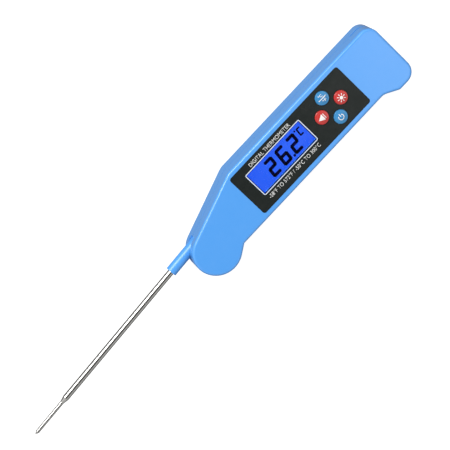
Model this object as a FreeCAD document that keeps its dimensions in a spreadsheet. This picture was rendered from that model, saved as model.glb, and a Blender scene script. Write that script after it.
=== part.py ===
"""Folding digital probe thermometer.

Frame: the origin is where the probe's pivot axis meets the back plane. +X runs along the casing
to its tail, +Y to the top edge and +Z out of the display face. Lengths are in millimetres, and
the probe is modelled swung out, its rest position.
"""

import FreeCAD
import Part
import Sketcher
import math
import os
import re

from FreeCAD import Rotation, Vector

# Each driving dimension is written once, here.
DRIVING = [
    # casing outline, seen from the display side; positions are measured from the pivot axis
    ("casing_length", 138.7),
    ("casing_thickness", 19.0),
    ("grip_edge", 8.0),
    ("head_radius", 13.5),
    ("shoulder_radius", 12.0),
    ("slope_angle", 18.5),
    ("slope_distance", 12.85),
    ("slope_blend", 10.0),
    ("notch_angle", 33.0),
    ("notch_blend", 1.2),
    ("hook_length", 20.7),
    ("hook_depth", 4.6),
    ("ramp_angle", 30.0),
    ("ramp_blend", 5.5),
    ("toe_blend", 3.0),
    ("heel_radius", 7.0),
    ("tail_corner", 6.5),
    ("edge_round", 1.5),
    ("wall", 1.8),
    ("slot_wall", 1.4),
    ("head_wall", 0.8),
    ("seam_width", 0.3),
    ("seam_depth", 0.35),
    ("strap_slot_length", 11.0),
    ("strap_slot_width", 1.2),
    ("strap_slot_depth", 1.3),
    # probe and its hub
    ("probe_open_angle", 183.5),
    ("probe_offset", 9.25),
    ("stem_diameter", 6.0),
    ("stem_length", 24.0),
    ("hub_rim", 2.2),
    ("hub_thickness", 8.4),
    ("tube_diameter", 3.5),
    ("tube_wall", 0.3),
    ("tube_socket", 14.0),
    ("tube_crimp", 0.2),
    ("tube_gap", 0.05),
    ("tip_margin", 4.4),
    ("neck_diameter", 2.1),
    ("neck_length", 21.7),
    ("taper_length", 3.1),
    ("point_length", 1.8),
    ("bead_length", 3.0),
    ("wire_diameter", 0.3),
    ("seal_width", 0.9),
    ("seal_depth", 0.8),
    ("running_gap", 0.3),
    ("groove_side_gap", 0.55),
    ("pivot_diameter", 4.0),
    ("pivot_gap", 0.05),
    ("boss_diameter", 9.0),
    ("washer_thickness", 0.4),
    ("face_gap", 0.1),
    # display panel, its window and the display stack, in order from the front wall
    ("panel_start", 30.7),
    ("panel_end_border", 5.908),
    ("panel_border", 2.358),
    ("panel_depth", 0.8),
    ("panel_corner", 1.5),
    ("fit_gap", 0.1),
    ("window_inset", 6.9),
    ("window_length", 40.4),
    ("window_width", 15.4),
    ("window_rise", 0.95),
    ("window_ledge", 1.0),
    ("glass_thickness", 2.0),
    ("glass_margin", 1.8),
    ("strip_width", 1.4),
    ("stack_height", 4.4),
    ("frame_wall", 1.2),
    ("board_thickness", 1.6),
    ("board_start_inset", 2.3),
    ("board_tail_margin", 15.7),
    # buttons, in a diamond between the probe slot's wall and the top edge, beyond the display
    ("button_slot_gap", 1.268),
    ("button_top_room", 2.55),
    ("button_frame_gap", 1.408),
    ("button_diameter", 7.5),
    ("button_spread", 2.6),
    ("button_height", 0.5),
    ("button_dome", 0.9),
    ("button_flange", 0.8),
    ("flange_height", 0.7),
    ("button_gap", 0.2),
    ("button_travel", 0.6),
    ("press_gap", 0.2),
    ("switch_side", 5.2),
    # battery, its well and its twist-off door
    ("cell_diameter", 20.0),
    ("cell_height", 3.2),
    ("cell_tail_distance", 34.7),
    ("cell_middle", 8.3),
    ("door_rim", 1.4),
    ("door_thickness", 1.8),
    ("door_recess", 0.15),
    ("door_gap", 0.2),
    ("cell_gap", 0.05),
    ("lug_reach", 1.0),
    ("lug_height", 1.0),
    ("lug_width", 6.0),
    ("lug_angle", 40.0),
    ("well_wall", 1.0),
    ("seal_section", 0.8),
    ("coin_slot_length", 13.0),
    ("coin_slot_width", 1.8),
    ("coin_slot_depth", 0.8),
    ("contact_thickness", 0.3),
    ("contact_width", 4.0),
    # screws
    ("case_screw", 2.2),
    ("case_screw_head", 4.2),
    ("case_screw_length", 10.0),
    ("head_height", 1.6),
    ("screw_sink", 5.0),
    ("post_diameter", 6.2),
    ("board_screw", 1.7),
    ("board_screw_head", 3.2),
    ("board_screw_length", 4.5),
    ("board_post", 4.2),
]

# Each derived dimension follows from the driving ones.
DERIVED = [
    ("middle", "casing_thickness / 2"),
    ("front_inside", "casing_thickness - wall"),
    ("stem_radius", "stem_diameter / 2"),
    ("stem_slot_top", "probe_offset - stem_radius - running_gap"),
    ("cavity_floor", "stem_slot_top - slot_wall"),
    ("button_radius", "button_diameter / 2"),
    ("button_step", "(button_diameter + button_spread) / sqrt(2)"),
    ("button_reach", "button_step + button_radius"),
    ("panel_middle", "button_slot_gap - cavity_floor + button_flange + button_reach"),
    ("top_edge", "panel_middle + button_reach + button_flange + button_top_room + wall"),
    ("notch_x", "(head_radius - grip_edge * cos(notch_angle * 1 deg)) / sin(notch_angle * 1 deg)"),
    ("ramp_x", "casing_length - hook_length"),
    ("toe_x", "ramp_x + hook_depth / tan(ramp_angle * 1 deg)"),
    ("hook_edge", "grip_edge + hook_depth"),
    ("slope_x", "(top_edge * cos(slope_angle * 1 deg) - slope_distance) / sin(slope_angle * 1 deg)"),
    ("hub_radius", "head_radius - hub_rim"),
    ("tube_radius", "tube_diameter / 2"),
    ("crimp_radius", "tube_radius - tube_crimp"),
    ("neck_radius", "neck_diameter / 2"),
    ("pivot_radius", "pivot_diameter / 2"),
    ("boss_radius", "boss_diameter / 2"),
    ("probe_length", "casing_length - tip_margin"),
    ("neck_start", "probe_length - neck_length"),
    ("taper_start", "neck_start - taper_length"),
    ("groove_top", "probe_offset - tube_radius - running_gap"),
    ("cavity_start", "head_radius + head_wall"),
    ("panel_floor", "casing_thickness - panel_depth"),
    ("panel_width", "2 * (button_reach + panel_border)"),
    ("window_start", "panel_start + window_inset"),
    ("window_middle", "panel_middle + window_rise"),
    ("window_end", "window_start + window_length"),
    ("frame_end", "window_end + glass_margin + fit_gap + frame_wall"),
    ("button_x", "frame_end + button_frame_gap + button_flange + button_reach"),
    ("panel_length", "button_x + button_reach + panel_end_border - panel_start"),
    ("glass_top", "front_inside - fit_gap"),
    ("glass_bottom", "glass_top - glass_thickness"),
    ("board_top", "front_inside - stack_height"),
    ("board_bottom", "board_top - board_thickness"),
    ("board_start", "panel_start + board_start_inset"),
    ("board_end", "casing_length - board_tail_margin"),
    ("board_low", "2 * fit_gap - cavity_floor"),
    ("board_high", "top_edge - wall - 4 * fit_gap"),
    ("button_edge", "casing_thickness + button_height"),
    ("flange_top", "front_inside - fit_gap"),
    ("flange_bottom", "flange_top - flange_height"),
    ("dome_radius", "(button_radius * button_radius + button_dome * button_dome) / (2 * button_dome)"),
    ("plunger_top", "flange_bottom - button_travel - press_gap"),
    ("cell_radius", "cell_diameter / 2"),
    ("cell_x", "casing_length - cell_tail_distance"),
    ("door_top", "door_recess + door_thickness"),
    ("cell_bottom", "door_top + cell_gap"),
    ("cell_top", "cell_bottom + cell_height"),
    ("door_radius", "cell_radius + door_rim"),
    ("door_hole", "door_radius + door_gap"),
    ("lug_radius", "door_radius + lug_reach"),
    ("lug_top", "door_top + lug_height"),
    ("well_radius", "lug_radius + running_gap"),
    ("screw_head_bottom", "screw_sink - head_height"),
]

# Screw posts: X from the named end, and Y from the pivot axis.
CASE_SCREWS = {
    "head_upper": ("head_radius + 9.6", "panel_middle + 5.4"),
    "head_lower": ("head_radius + 13.2", "panel_middle - 7.6"),
    "tail_upper": ("casing_length - 7.4", "top_edge - 5.4"),
    "tail_lower": ("casing_length - 7.4", "panel_middle - 7.6"),
}
BOARD_SCREWS = {
    "lower_inner": ("window_end + 7", "board_low + 2.4"),
    "upper_inner": ("window_end + 7", "board_high - 2.4"),
    "lower_outer": ("board_end - 2.6", "board_low + 2.4"),
    "upper_outer": ("board_end - 2.6", "board_high - 2.4"),
}
BUTTONS = {
    "button_unit": (0, 1),
    "button_light": (1, 0),
    "button_power": (0, -1),
    "button_hold": (-1, 0),
}
CLEAR = "4 * casing_thickness"

doc = FreeCAD.newDocument("thermometer")
nodes = []


def fill_sheet():
    """Write the driving numbers and the formulas that follow from them."""
    sheet = doc.addObject("Spreadsheet::Sheet", "dims")
    for row, (name, number) in enumerate(DRIVING, start=1):
        sheet.set(f"A{row}", name)
        sheet.set(f"B{row}", str(number))
        sheet.setAlias(f"B{row}", name)
    for row, (name, formula) in enumerate(DERIVED, start=1):
        sheet.set(f"D{row}", name)
        sheet.set(f"E{row}", "=" + formula)
        sheet.setAlias(f"E{row}", name)
    doc.recompute()
    return sheet


def size(name):
    """The number that a cell holds."""
    return float(dims.get(name))


def cells(text):
    """An expression on the sheet's cells, from the cells' plain names."""
    return re.sub(r"[a-z_]{3,}", lambda word: "dims." + word.group(), str(text))


def bind(thing, **sizes):
    for name, text in sizes.items():
        thing.setExpression(name, cells(text))


def place(thing, x=0, y=0, z=0):
    for axis, text in zip("xyz", (x, y, z)):
        thing.setExpression("Placement.Base." + axis, cells(text))
    return thing


def turned(thing, turn, corner, centre=Vector(0, 0, 0)):
    """Turn a box about Z; its corner is given before the turn, from the centre."""
    for axis in "xy":
        thing.setExpression("Placement.Base." + axis, None)
    spot = turn.multVec(corner) + centre
    spot.z = thing.Placement.Base.z
    thing.Placement = FreeCAD.Placement(spot, turn)
    return thing


def box(name, length, width, height, x, y, z):
    thing = doc.addObject("Part::Box", name)
    bind(thing, Length=length, Width=width, Height=height)
    return place(thing, x, y, z)


def cylinder(name, radius, height, x=0, y=0, z=0):
    thing = doc.addObject("Part::Cylinder", name)
    bind(thing, Radius=radius, Height=height)
    return place(thing, x, y, z)


def rod(name, radius, length, x=0, y=0, z=0):
    """A cylinder that lies along X."""
    thing = doc.addObject("Part::Cylinder", name)
    thing.Placement.Rotation = Rotation(Vector(0, 1, 0), 90)
    bind(thing, Radius=radius, Height=length)
    return place(thing, x, y, z)


def fuse(name, *shapes):
    thing = doc.addObject("Part::MultiFuse", name)
    thing.Shapes = list(shapes)
    return thing


def cut(name, base, *tools):
    thing = doc.addObject("Part::Cut", name)
    thing.Base = base
    thing.Tool = tools[0] if len(tools) == 1 else fuse(name + "_tools", *tools)
    return thing


def common(name, *shapes):
    thing = doc.addObject("Part::MultiCommon", name)
    thing.Shapes = list(shapes)
    return thing


def group(name, *shapes):
    """Separate solids that share a node."""
    thing = doc.addObject("Part::Compound", name)
    thing.Links = list(shapes)
    return thing


def extrude(name, profile, height, z=0):
    thing = doc.addObject("Part::Extrusion", name)
    thing.Base = profile
    thing.DirMode = "Custom"
    thing.Dir = Vector(0, 0, 1)
    thing.Solid = True
    bind(thing, LengthFwd=height)
    return place(thing, z=z)


def inset(name, profile, distance):
    thing = doc.addObject("Part::Offset2D", name)
    thing.Source = profile
    bind(thing, Value=distance)
    return thing


def node(name, thing):
    """Record a finished sub-part under its node's name."""
    thing.Label = name
    nodes.append(thing)
    return thing


def new_body(name):
    thing = doc.addObject("PartDesign::Body", name)
    return thing


def sketch_in(body, role, name):
    """A sketch on one of the body's own origin planes."""
    sketch = body.newObject("Sketcher::SketchObject", name)
    plane = [item for item in body.Origin.OriginFeatures if item.Role == role][0]
    sketch.AttachmentSupport = [(plane, "")]
    sketch.MapMode = "FlatFace"
    return sketch


def pin_point(sketch, geometry, end, x, y):
    """Hold one end of a sketch element at a place given in cells."""
    for kind, text in (("DistanceX", x), ("DistanceY", y)):
        index = sketch.addConstraint(Sketcher.Constraint(kind, -1, 1, geometry, end, 1.0))
        sketch.setExpression(f"Constraints[{index}]", cells(text))


def polygon(sketch, corners):
    """A closed chain of lines whose corners are bound to the sheet."""
    count = len(corners)
    for index in range(count):
        start = Vector(index, (index * index) % 7, 0)
        end = Vector(index + 1, ((index + 1) * (index + 1)) % 7, 0)
        sketch.addGeometry(Part.LineSegment(start, end))
    for index in range(count):
        joint = Sketcher.Constraint("Coincident", index, 2, (index + 1) % count, 1)
        sketch.addConstraint(joint)
    for index, (x, y) in enumerate(corners):
        pin_point(sketch, index, 1, x, y)


def rectangle(sketch, low_x, low_y, high_x, high_y):
    polygon(sketch, [(low_x, low_y), (high_x, low_y), (high_x, high_y), (low_x, high_y)])


def pad(body, sketch, length, midplane=False):
    feature = body.newObject("PartDesign::Pad", sketch.Name + "_pad")
    feature.Profile = sketch
    feature.Midplane = midplane
    bind(feature, Length=length)
    body.Tip = feature
    return feature


def revolve(body, sketch, role="X_Axis"):
    feature = body.newObject("PartDesign::Revolution", sketch.Name + "_turn")
    feature.Profile = sketch
    axis = [item for item in body.Origin.OriginFeatures if item.Role == role][0]
    feature.ReferenceAxis = (axis, [""])
    feature.Angle = 360.0
    body.Tip = feature
    return feature


def corner_arc(before, corner, after, radius):
    """The arc that rounds a corner, and whether the outline turns left there."""
    come = (corner - before).normalize()
    leave = (after - corner).normalize()
    turn = math.atan2(come.x * leave.y - come.y * leave.x, come.dot(leave))
    reach = radius * math.tan(abs(turn) / 2)
    start = corner - come * reach
    end = corner + leave * reach
    side = Vector(-come.y, come.x, 0) * math.copysign(radius, turn)
    centre = start + side
    angles = [math.atan2(point.y - centre.y, point.x - centre.x) for point in (start, end)]
    left = turn > 0
    first, last = angles if left else reversed(angles)
    arc = Part.ArcOfCircle(Part.Circle(centre, Vector(0, 0, 1), radius), first, last)
    return start, arc, end, left


def casing_outline():
    """The casing's outline: round head, grip edge, tail hook, top edge and slope, in that order."""
    sketch = doc.addObject("Sketcher::SketchObject", "casing_outline")
    head = size("head_radius")
    shoulder = size("shoulder_radius")
    slope = math.radians(size("slope_angle"))
    notch = math.radians(size("notch_angle"))
    normal = Vector(-math.sin(slope), math.cos(slope), 0)
    along = Vector(-math.cos(slope), -math.sin(slope), 0)
    rise = size("slope_distance") - shoulder
    shift = math.sqrt((head - shoulder) ** 2 - rise ** 2)
    shoulder_centre = normal * rise + along * shift
    meeting = math.atan2(shoulder_centre.y, shoulder_centre.x)
    corners = [
        ("notch_x", "-grip_edge", "notch_blend"),
        ("ramp_x", "-grip_edge", "ramp_blend"),
        ("toe_x", "-hook_edge", "toe_blend"),
        ("casing_length", "-hook_edge", "heel_radius"),
        ("casing_length", "top_edge", "tail_corner"),
        ("slope_x", "top_edge", "slope_blend"),
    ]
    points = [Vector(head * math.sin(notch), -head * math.cos(notch), 0)]
    for x, y, _ in corners:
        height = -size(y[1:]) if y.startswith("-") else size(y)
        points.append(Vector(size(x), height, 0))
    points.append(shoulder_centre + normal * shoulder)
    up = Vector(0, 0, 1)
    head_circle = Part.Circle(Vector(0, 0, 0), up, head)
    head_arc = sketch.addGeometry(Part.ArcOfCircle(head_circle, meeting, notch - math.pi / 2))
    chain = [(head_arc, 1, 2)]
    radii = [(head_arc, "head_radius")]
    lines = []
    at = points[0]
    for index, (x, y, blend) in enumerate(corners, start=1):
        start, arc, end, left = corner_arc(*points[index - 1:index + 2], size(blend))
        lines.append(sketch.addGeometry(Part.LineSegment(at, start)))
        arc_index = sketch.addGeometry(arc)
        chain.append((lines[-1], 1, 2))
        chain.append((arc_index, 1, 2) if left else (arc_index, 2, 1))
        radii.append((arc_index, blend))
        at = end
    lines.append(sketch.addGeometry(Part.LineSegment(at, points[-1])))
    chain.append((lines[-1], 1, 2))
    top = math.atan2(normal.y, normal.x)
    shoulder_circle = Part.Circle(shoulder_centre, up, shoulder)
    shoulder_arc = sketch.addGeometry(Part.ArcOfCircle(shoulder_circle, top, meeting))
    chain.append((shoulder_arc, 1, 2))
    radii.append((shoulder_arc, "shoulder_radius"))
    for (first, _, end), (second, start, _) in zip(chain, chain[1:] + chain[:1]):
        sketch.addConstraint(Sketcher.Constraint("Tangent", first, end, second, start))
    sketch.addConstraint(Sketcher.Constraint("Coincident", head_arc, 3, -1, 1))
    for index, name in radii:
        rule = sketch.addConstraint(Sketcher.Constraint("Radius", index, size(name)))
        sketch.setExpression(f"Constraints[{rule}]", cells(name))
    for index, (x, y, _) in enumerate(corners):
        marker = sketch.addGeometry(Part.Point(points[index + 1]), True)
        pin_point(sketch, marker, 1, x, y)
        for line in lines[index:index + 2]:
            sketch.addConstraint(Sketcher.Constraint("PointOnObject", marker, 1, line))
    rule = Sketcher.Constraint("Distance", -1, 1, lines[-1], size("slope_distance"))
    sketch.setExpression(f"Constraints[{sketch.addConstraint(rule)}]", cells("slope_distance"))
    return sketch


def rounded_block(outline):
    """The whole casing as one block, its front and back rims rounded."""
    block = extrude("casing_block", outline, "casing_thickness")
    doc.recompute()
    thickness = size("casing_thickness")
    rims = []
    for index, edge in enumerate(block.Shape.Edges, start=1):
        heights = [vertex.Z for vertex in edge.Vertexes]
        if max(heights) - min(heights) < 0.001 and heights[0] in (0.0, thickness):
            rims.append((index, size("edge_round"), size("edge_round")))
    rounded = doc.addObject("Part::Fillet", "casing_rounded")
    rounded.Base = block
    rounded.Edges = rims
    return rounded


def probe_space():
    """All the room that the hub and the probe need as they swing from open to folded."""
    hub_half = "(hub_thickness / 2 + face_gap)"
    hub_room = cylinder("hub_room", "hub_radius + running_gap", f"2 * {hub_half}",
                        z=f"middle - {hub_half}")
    stem_half = "(stem_radius + running_gap)"
    open_turn = Rotation(Vector(0, 0, 1), size("probe_open_angle") - 180)
    reach = size("casing_thickness") * 4
    arms = []
    for name, width, start in (("stem_swing", f"{CLEAR} + probe_offset + {stem_half}", 1.0),
                               ("stem_exit", f"2 * {CLEAR}", -2.5)):
        arm = box(name, CLEAR, width, f"2 * {stem_half}", 0, 0, f"middle - {stem_half}")
        arms.append(turned(arm, open_turn, Vector(start - reach, -reach, 0)))
    stem_rest = box("stem_rest", "stem_length + 2 * running_gap", CLEAR, f"2 * {stem_half}",
                    0, f"-stem_slot_top - {CLEAR}", f"middle - {stem_half}")
    tube_half = "(tube_radius + groove_side_gap)"
    groove = box("tube_groove", "probe_length + 1", CLEAR, f"2 * {tube_half}",
                 0, f"-groove_top - {CLEAR}", f"middle - {tube_half}")
    return fuse("probe_space", hub_room, *arms, stem_rest, groove)


def casing_hollow(outline):
    """What is cut from both shells: probe space, electronics bay, hub chambers, seam, strap slot."""
    floor = extrude("bay_outline", inset("wall_line", outline, "-wall"),
                    "casing_thickness - 2 * wall", "wall")
    bay_limit = box("bay_limit", CLEAR + " + casing_length", CLEAR, "casing_thickness",
                    "cavity_start", "-cavity_floor", 0)
    bay = common("bay", floor, bay_limit)
    chambers = cylinder("hub_chambers", "hub_radius", "casing_thickness - 2 * wall", z="wall")
    lead_door = box("lead_door", "cavity_start", 6, "front_inside - middle - hub_thickness / 2",
                    "boss_radius + 2", "panel_middle - 6.35", "middle + hub_thickness / 2")
    seam_outer = extrude("seam_outer", inset("seam_outer_line", outline, "1"), "seam_width",
                         "middle - seam_width / 2")
    seam_inner = extrude("seam_inner", inset("seam_inner_line", outline, "-seam_depth"),
                         "seam_width", "middle - seam_width / 2")
    seam = cut("seam", seam_outer, seam_inner)
    slot_outer = box("slot_outer", CLEAR, CLEAR, "strap_slot_width",
                     "casing_length - strap_slot_length", "top_edge - tail_corner - 3",
                     "middle - strap_slot_width / 2")
    slot_inner = extrude("slot_inner", inset("slot_line", outline, "-strap_slot_depth"),
                         "strap_slot_width", "middle - strap_slot_width / 2")
    strap_slot = cut("strap_slot", slot_outer, slot_inner)
    return fuse("casing_hollow", probe_space(), bay, chambers, lead_door, seam, strap_slot)


def posts(name, places, diameter, low, high):
    made = []
    for spot, (x, y) in places.items():
        made.append(cylinder(f"{name}_{spot}", f"{diameter} / 2", f"{high} - ({low})", x, y, low))
    return made


def pivot_boss(name, low, high):
    return cylinder(name, "boss_radius", f"{high} - ({low})", z=low)


def front_shell(block, hollow):
    half = box("front_half", "2 * casing_length", "2 * casing_length", "middle",
               "-casing_length / 2", "-casing_length / 2", "middle")
    blank = cut("front_blank", common("front_block", block, half), hollow)
    washer_seat = "middle + hub_thickness / 2 + face_gap + washer_thickness"
    solid = fuse(
        "front_solid", blank,
        pivot_boss("front_boss", washer_seat, "front_inside + wall / 2"),
        *posts("front_post", CASE_SCREWS, "post_diameter", "middle", "front_inside + wall / 2"),
        *posts("board_stand", BOARD_SCREWS, "board_post", "board_top", "front_inside + wall / 2"),
    )
    recess = panel_blank("panel_recess", "fit_gap", "panel_floor", "wall")
    light = box("window_opening", "window_length - 2 * window_ledge",
                "window_width - 2 * window_ledge", "2 * wall", "window_start + window_ledge",
                "window_middle - window_width / 2 + window_ledge", "front_inside - wall / 2")
    holes = [cylinder(name + "_hole", "button_radius + button_gap", "2 * wall", x, y,
                      "front_inside - wall / 2")
             for name, (x, y) in button_places()]
    pilot = posts("case_pilot", CASE_SCREWS, "(case_screw + 0.1)", "middle - 1",
                  "screw_sink + case_screw_length + 0.5")
    board_pilot = posts("board_pilot", BOARD_SCREWS, "(board_screw + 0.1)", "board_top - 1",
                        "board_bottom + board_screw_length + 0.3")
    bore = cylinder("front_bore", "pivot_radius + pivot_gap", "middle", z="middle - wall")
    return node("front_shell", cut("front_shell", solid, recess, light, *holes, *pilot,
                                   *board_pilot, bore))


def rear_shell(block, hollow):
    half = box("rear_half", "2 * casing_length", "2 * casing_length", "middle",
               "-casing_length / 2", "-casing_length / 2", 0)
    blank = cut("rear_blank", common("rear_block", block, half), hollow)
    well = cylinder("well_wall_ring", "well_radius + well_wall", "cell_top + 0.8 - wall / 2",
                    "cell_x", "cell_middle", "wall / 2")
    solid = fuse(
        "rear_solid", blank, well,
        pivot_boss("rear_boss", "wall / 2", "middle - hub_thickness / 2 - face_gap"),
        *posts("rear_post", CASE_SCREWS, "post_diameter", "wall / 2", "middle"),
    )
    well_room = cylinder("well_room", "well_radius", "casing_thickness", "cell_x", "cell_middle",
                         "door_top - face_gap")
    opening = cylinder("door_opening", "door_hole", "casing_thickness", "cell_x", "cell_middle",
                       "-wall")
    notches = lugs("lug_notch", "lug_angle", "0.25", "-wall", "door_top + 2 * wall")
    sinks = posts("screw_sink", CASE_SCREWS, "(case_screw_head + 0.4)", "-1", "screw_sink")
    ways = posts("screw_way", CASE_SCREWS, "(case_screw + 0.2)", "-1", "middle + 1")
    bore = cylinder("rear_bore", "pivot_radius + pivot_gap", "middle", z="wall")
    return node("rear_shell", cut("rear_shell", solid, well_room, opening, *notches, *sinks, *ways,
                                  bore))


def panel_blank(name, gap, low, height):
    """The panel's rounded rectangle, grown by a gap, as a body."""
    body = new_body(name)
    sketch = sketch_in(body, "XY_Plane", name + "_sketch")
    rectangle(sketch, f"panel_start - {gap}", f"panel_middle - panel_width / 2 - {gap}",
              f"panel_start + panel_length + {gap}", f"panel_middle + panel_width / 2 + {gap}")
    blank = pad(body, sketch, height)
    doc.recompute()
    uprights = [f"Edge{index}" for index, edge in enumerate(blank.Shape.Edges, start=1)
                if abs(edge.Vertexes[0].Z - edge.Vertexes[-1].Z) > 0.01]
    fillet = body.newObject("PartDesign::Fillet", name + "_corners")
    fillet.Base = (blank, uprights)
    bind(fillet, Radius="panel_corner")
    body.Tip = fillet
    return place(body, z=low)


def button_places():
    """Each button's name, with its centre in cells."""
    return [(name, (f"button_x + {x} * button_step", f"panel_middle + {y} * button_step"))
            for name, (x, y) in BUTTONS.items()]


def display_panel():
    """Black cover plate with the window opening and the four button holes."""
    blank = panel_blank("panel_body", "0", "panel_floor", "panel_depth - 0.05")
    window = box("panel_window", "window_length", "window_width", "2 * wall", "window_start",
                 "window_middle - window_width / 2", "front_inside")
    holes = [cylinder(name + "_panel_hole", "button_radius + button_gap", "2 * wall", x, y,
                      "front_inside") for name, (x, y) in button_places()]
    return node("display_panel", cut("display_panel", blank, window, *holes))


def display_stack():
    """Window pane, display glass, its frame, backlight and contact strips, above the board."""
    node("window_pane", box("window_pane", "window_length - 2 * fit_gap",
                            "window_width - 2 * fit_gap", "panel_depth - 0.15",
                            "window_start + fit_gap",
                            "window_middle - window_width / 2 + fit_gap", "panel_floor"))
    glass_low = "window_middle - window_width / 2 - glass_margin"
    node("display_glass", box("display_glass", "window_length + 2 * glass_margin",
                              "window_width + 2 * glass_margin", "glass_thickness",
                              "window_start - glass_margin", glass_low, "glass_bottom"))
    gap_to_board = "glass_bottom - board_top"
    node("backlight", box("backlight", "window_length + 2 * fit_gap",
                          "window_width - 2 * fit_gap", f"{gap_to_board} - fit_gap",
                          "window_start - fit_gap", "window_middle - window_width / 2 + fit_gap",
                          "board_top"))
    strips = [box("strip_lower", "window_length", "strip_width", gap_to_board, "window_start",
                  f"{glass_low} + fit_gap", "board_top"),
              box("strip_upper", "window_length", "strip_width", gap_to_board, "window_start",
                  "window_middle + window_width / 2 + glass_margin - fit_gap - strip_width",
                  "board_top")]
    node("contact_strips", group("contact_strips", *strips))
    edge = "(glass_margin + fit_gap)"
    outer = box("frame_outer", f"window_length + 2 * {edge} + 2 * frame_wall",
                f"window_width + 2 * {edge} + 2 * frame_wall", "stack_height - 2 * fit_gap",
                f"window_start - {edge} - frame_wall",
                f"window_middle - window_width / 2 - {edge} - frame_wall", "board_top")
    inner = box("frame_inner", f"window_length + 2 * {edge}", f"window_width + 2 * {edge}",
                "2 * stack_height", f"window_start - {edge}",
                f"window_middle - window_width / 2 - {edge}", "board_top - 1")
    node("display_frame", cut("display_frame", outer, inner))


def circuit_board(outline):
    """Board that keeps inside the casing's walls, its screw holes, and the chip on its back."""
    sheet = box("board_sheet", "board_end - board_start", "board_high - board_low",
                "board_thickness", "board_start", "board_low", "board_bottom")
    room = extrude("board_room", inset("board_line", outline, "-wall - 3 * fit_gap"),
                   "board_thickness + 2", "board_bottom - 1")
    plate = common("board_plate", sheet, room)
    holes = posts("board_hole", BOARD_SCREWS, "(board_screw + 0.3)", "board_bottom - 1",
                  "board_top + 1")
    node("circuit_board", cut("circuit_board", plate, *holes))
    chip = box("controller_chip", 9, 9, 1.2, "board_start + 18", "window_middle - 4.5",
               "board_bottom - 1.2")
    node("controller_chip", chip)


def buttons():
    """Four domed caps, each held under the front wall by a flange."""
    for name, (x, y) in button_places():
        flange = cylinder(name + "_flange", "button_radius + button_flange", "flange_height",
                          x, y, "flange_bottom")
        stalk = cylinder(name + "_stalk", "button_radius", "button_edge + button_dome - flange_top",
                         x, y, "flange_top")
        ball = doc.addObject("Part::Sphere", name + "_ball")
        bind(ball, Radius="dome_radius")
        place(ball, x, y, "button_edge + button_dome - dome_radius")
        cap = common(name + "_cap", stalk, ball)
        node(name, fuse(name, flange, cap))


def switches():
    """A push switch on the board below each button."""
    made = []
    for name, (x, y) in button_places():
        half = "switch_side / 2"
        case = box(name + "_case", "switch_side", "switch_side", "plunger_top - 0.6 - board_top",
                   f"{x} - {half}", f"{y} - {half}", "board_top")
        plunger = cylinder(name + "_plunger", 1.5, "plunger_top - board_top - 0.5", x, y,
                           "board_top + 0.5")
        made.append(fuse(name + "_switch", case, plunger))
    node("push_switches", group("push_switches", *made))


def lugs(name, turn, gap, low, high):
    """The door's two lugs, or the notches that pass them, turned about the door's axis."""
    made = []
    for number, start in enumerate((0, 180)):
        bar = box(f"{name}_{number}", f"lug_radius - cell_radius - 0.4 + {gap}",
                  f"lug_width + 2 * {gap}", f"{high} - ({low})", 0, 0, low)
        angle = start - (size(turn) if turn else 0)
        turned(bar, Rotation(Vector(0, 0, 1), angle),
               Vector(size("cell_radius") + 0.4, -size("lug_width") / 2 - float(gap), 0),
               Vector(size("cell_x"), size("cell_middle"), 0))
        limit = cylinder(f"{name}_{number}_limit", f"lug_radius + {gap}", CLEAR, "cell_x",
                         "cell_middle", f"-{CLEAR} / 2")
        made.append(common(f"{name}_{number}_round", bar, limit))
    return made


def battery_door():
    """Round twist-off door with a coin slot outside, a seal round its rim and two lugs inside."""
    disc = cylinder("door_disc", "door_radius", "door_thickness", "cell_x", "cell_middle",
                    "door_recess")
    grown = fuse("door_grown", disc, *lugs("door_lug", None, "0", "door_top", "lug_top"))
    coin = box("coin_slot", "coin_slot_length", "coin_slot_width", "2 * coin_slot_depth",
               "cell_x - coin_slot_length / 2", "cell_middle - coin_slot_width / 2",
               "door_recess - coin_slot_depth")
    ring_low = "door_recess + door_thickness / 2 - seal_section / 2 - 0.05"
    ring_outer = cylinder("seal_groove_outer", "door_radius + 1", "seal_section + 0.1", "cell_x",
                          "cell_middle", ring_low)
    ring_inner = cylinder("seal_groove_inner", "door_radius - seal_section + 0.1",
                          "seal_section + 0.1", "cell_x", "cell_middle", ring_low)
    groove = cut("seal_groove", ring_outer, ring_inner)
    node("battery_door", cut("battery_door", grown, coin, groove))
    seal = doc.addObject("Part::Torus", "door_seal")
    bind(seal, Radius1="door_radius + 0.14 - seal_section / 2", Radius2="seal_section / 2 - 0.02")
    place(seal, "cell_x", "cell_middle", "door_recess + door_thickness / 2")
    node("door_seal", seal)


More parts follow.
